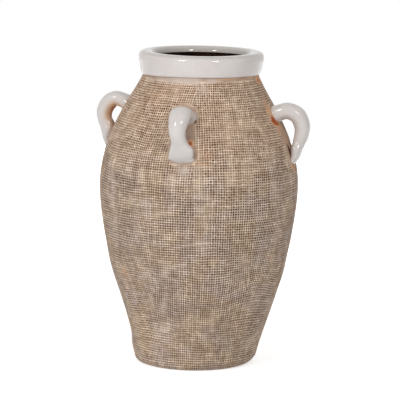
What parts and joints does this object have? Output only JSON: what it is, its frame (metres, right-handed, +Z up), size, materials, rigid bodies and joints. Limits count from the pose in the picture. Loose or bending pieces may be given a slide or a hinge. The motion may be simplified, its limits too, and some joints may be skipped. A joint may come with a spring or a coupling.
{
  "type": "amphora vase",
  "caption": "Tall ceramic amphora vase with strap handles round the shoulder, a thick white-glazed collar, a dark glazed inside and a wall marked all over by a coarse woven net.",
  "frame": {"origin": "centre of the foot, on the surface that the vase stands on", "axes": "+Z up through the mouth, -Y towards the front handle, +X towards the right handle"},
  "size_m": [0.3027, 0.3044, 0.44],
  "materials": {
    "netted_clay": "matt fired clay pressed all over with a coarse woven net, tan threads and darker cells, with cooler and redder patches",
    "bare_clay": "matt smooth fired clay",
    "white_glaze": "glossy off-white glaze, burnt brown on the inner faces of the handles",
    "dark_glaze": "glossy brown-black glaze"
  },
  "bodies": {
    "root": {"floor_slab": "bare_clay", "lower_wall": "netted_clay", "shoulder_wall": "netted_clay", "collar": "white_glaze", "liner_glaze": "dark_glaze", "front_handle": "white_glaze", "right_handle": "white_glaze", "back_handle": "white_glaze", "left_handle": "white_glaze"}
  },
  "joints": []
}
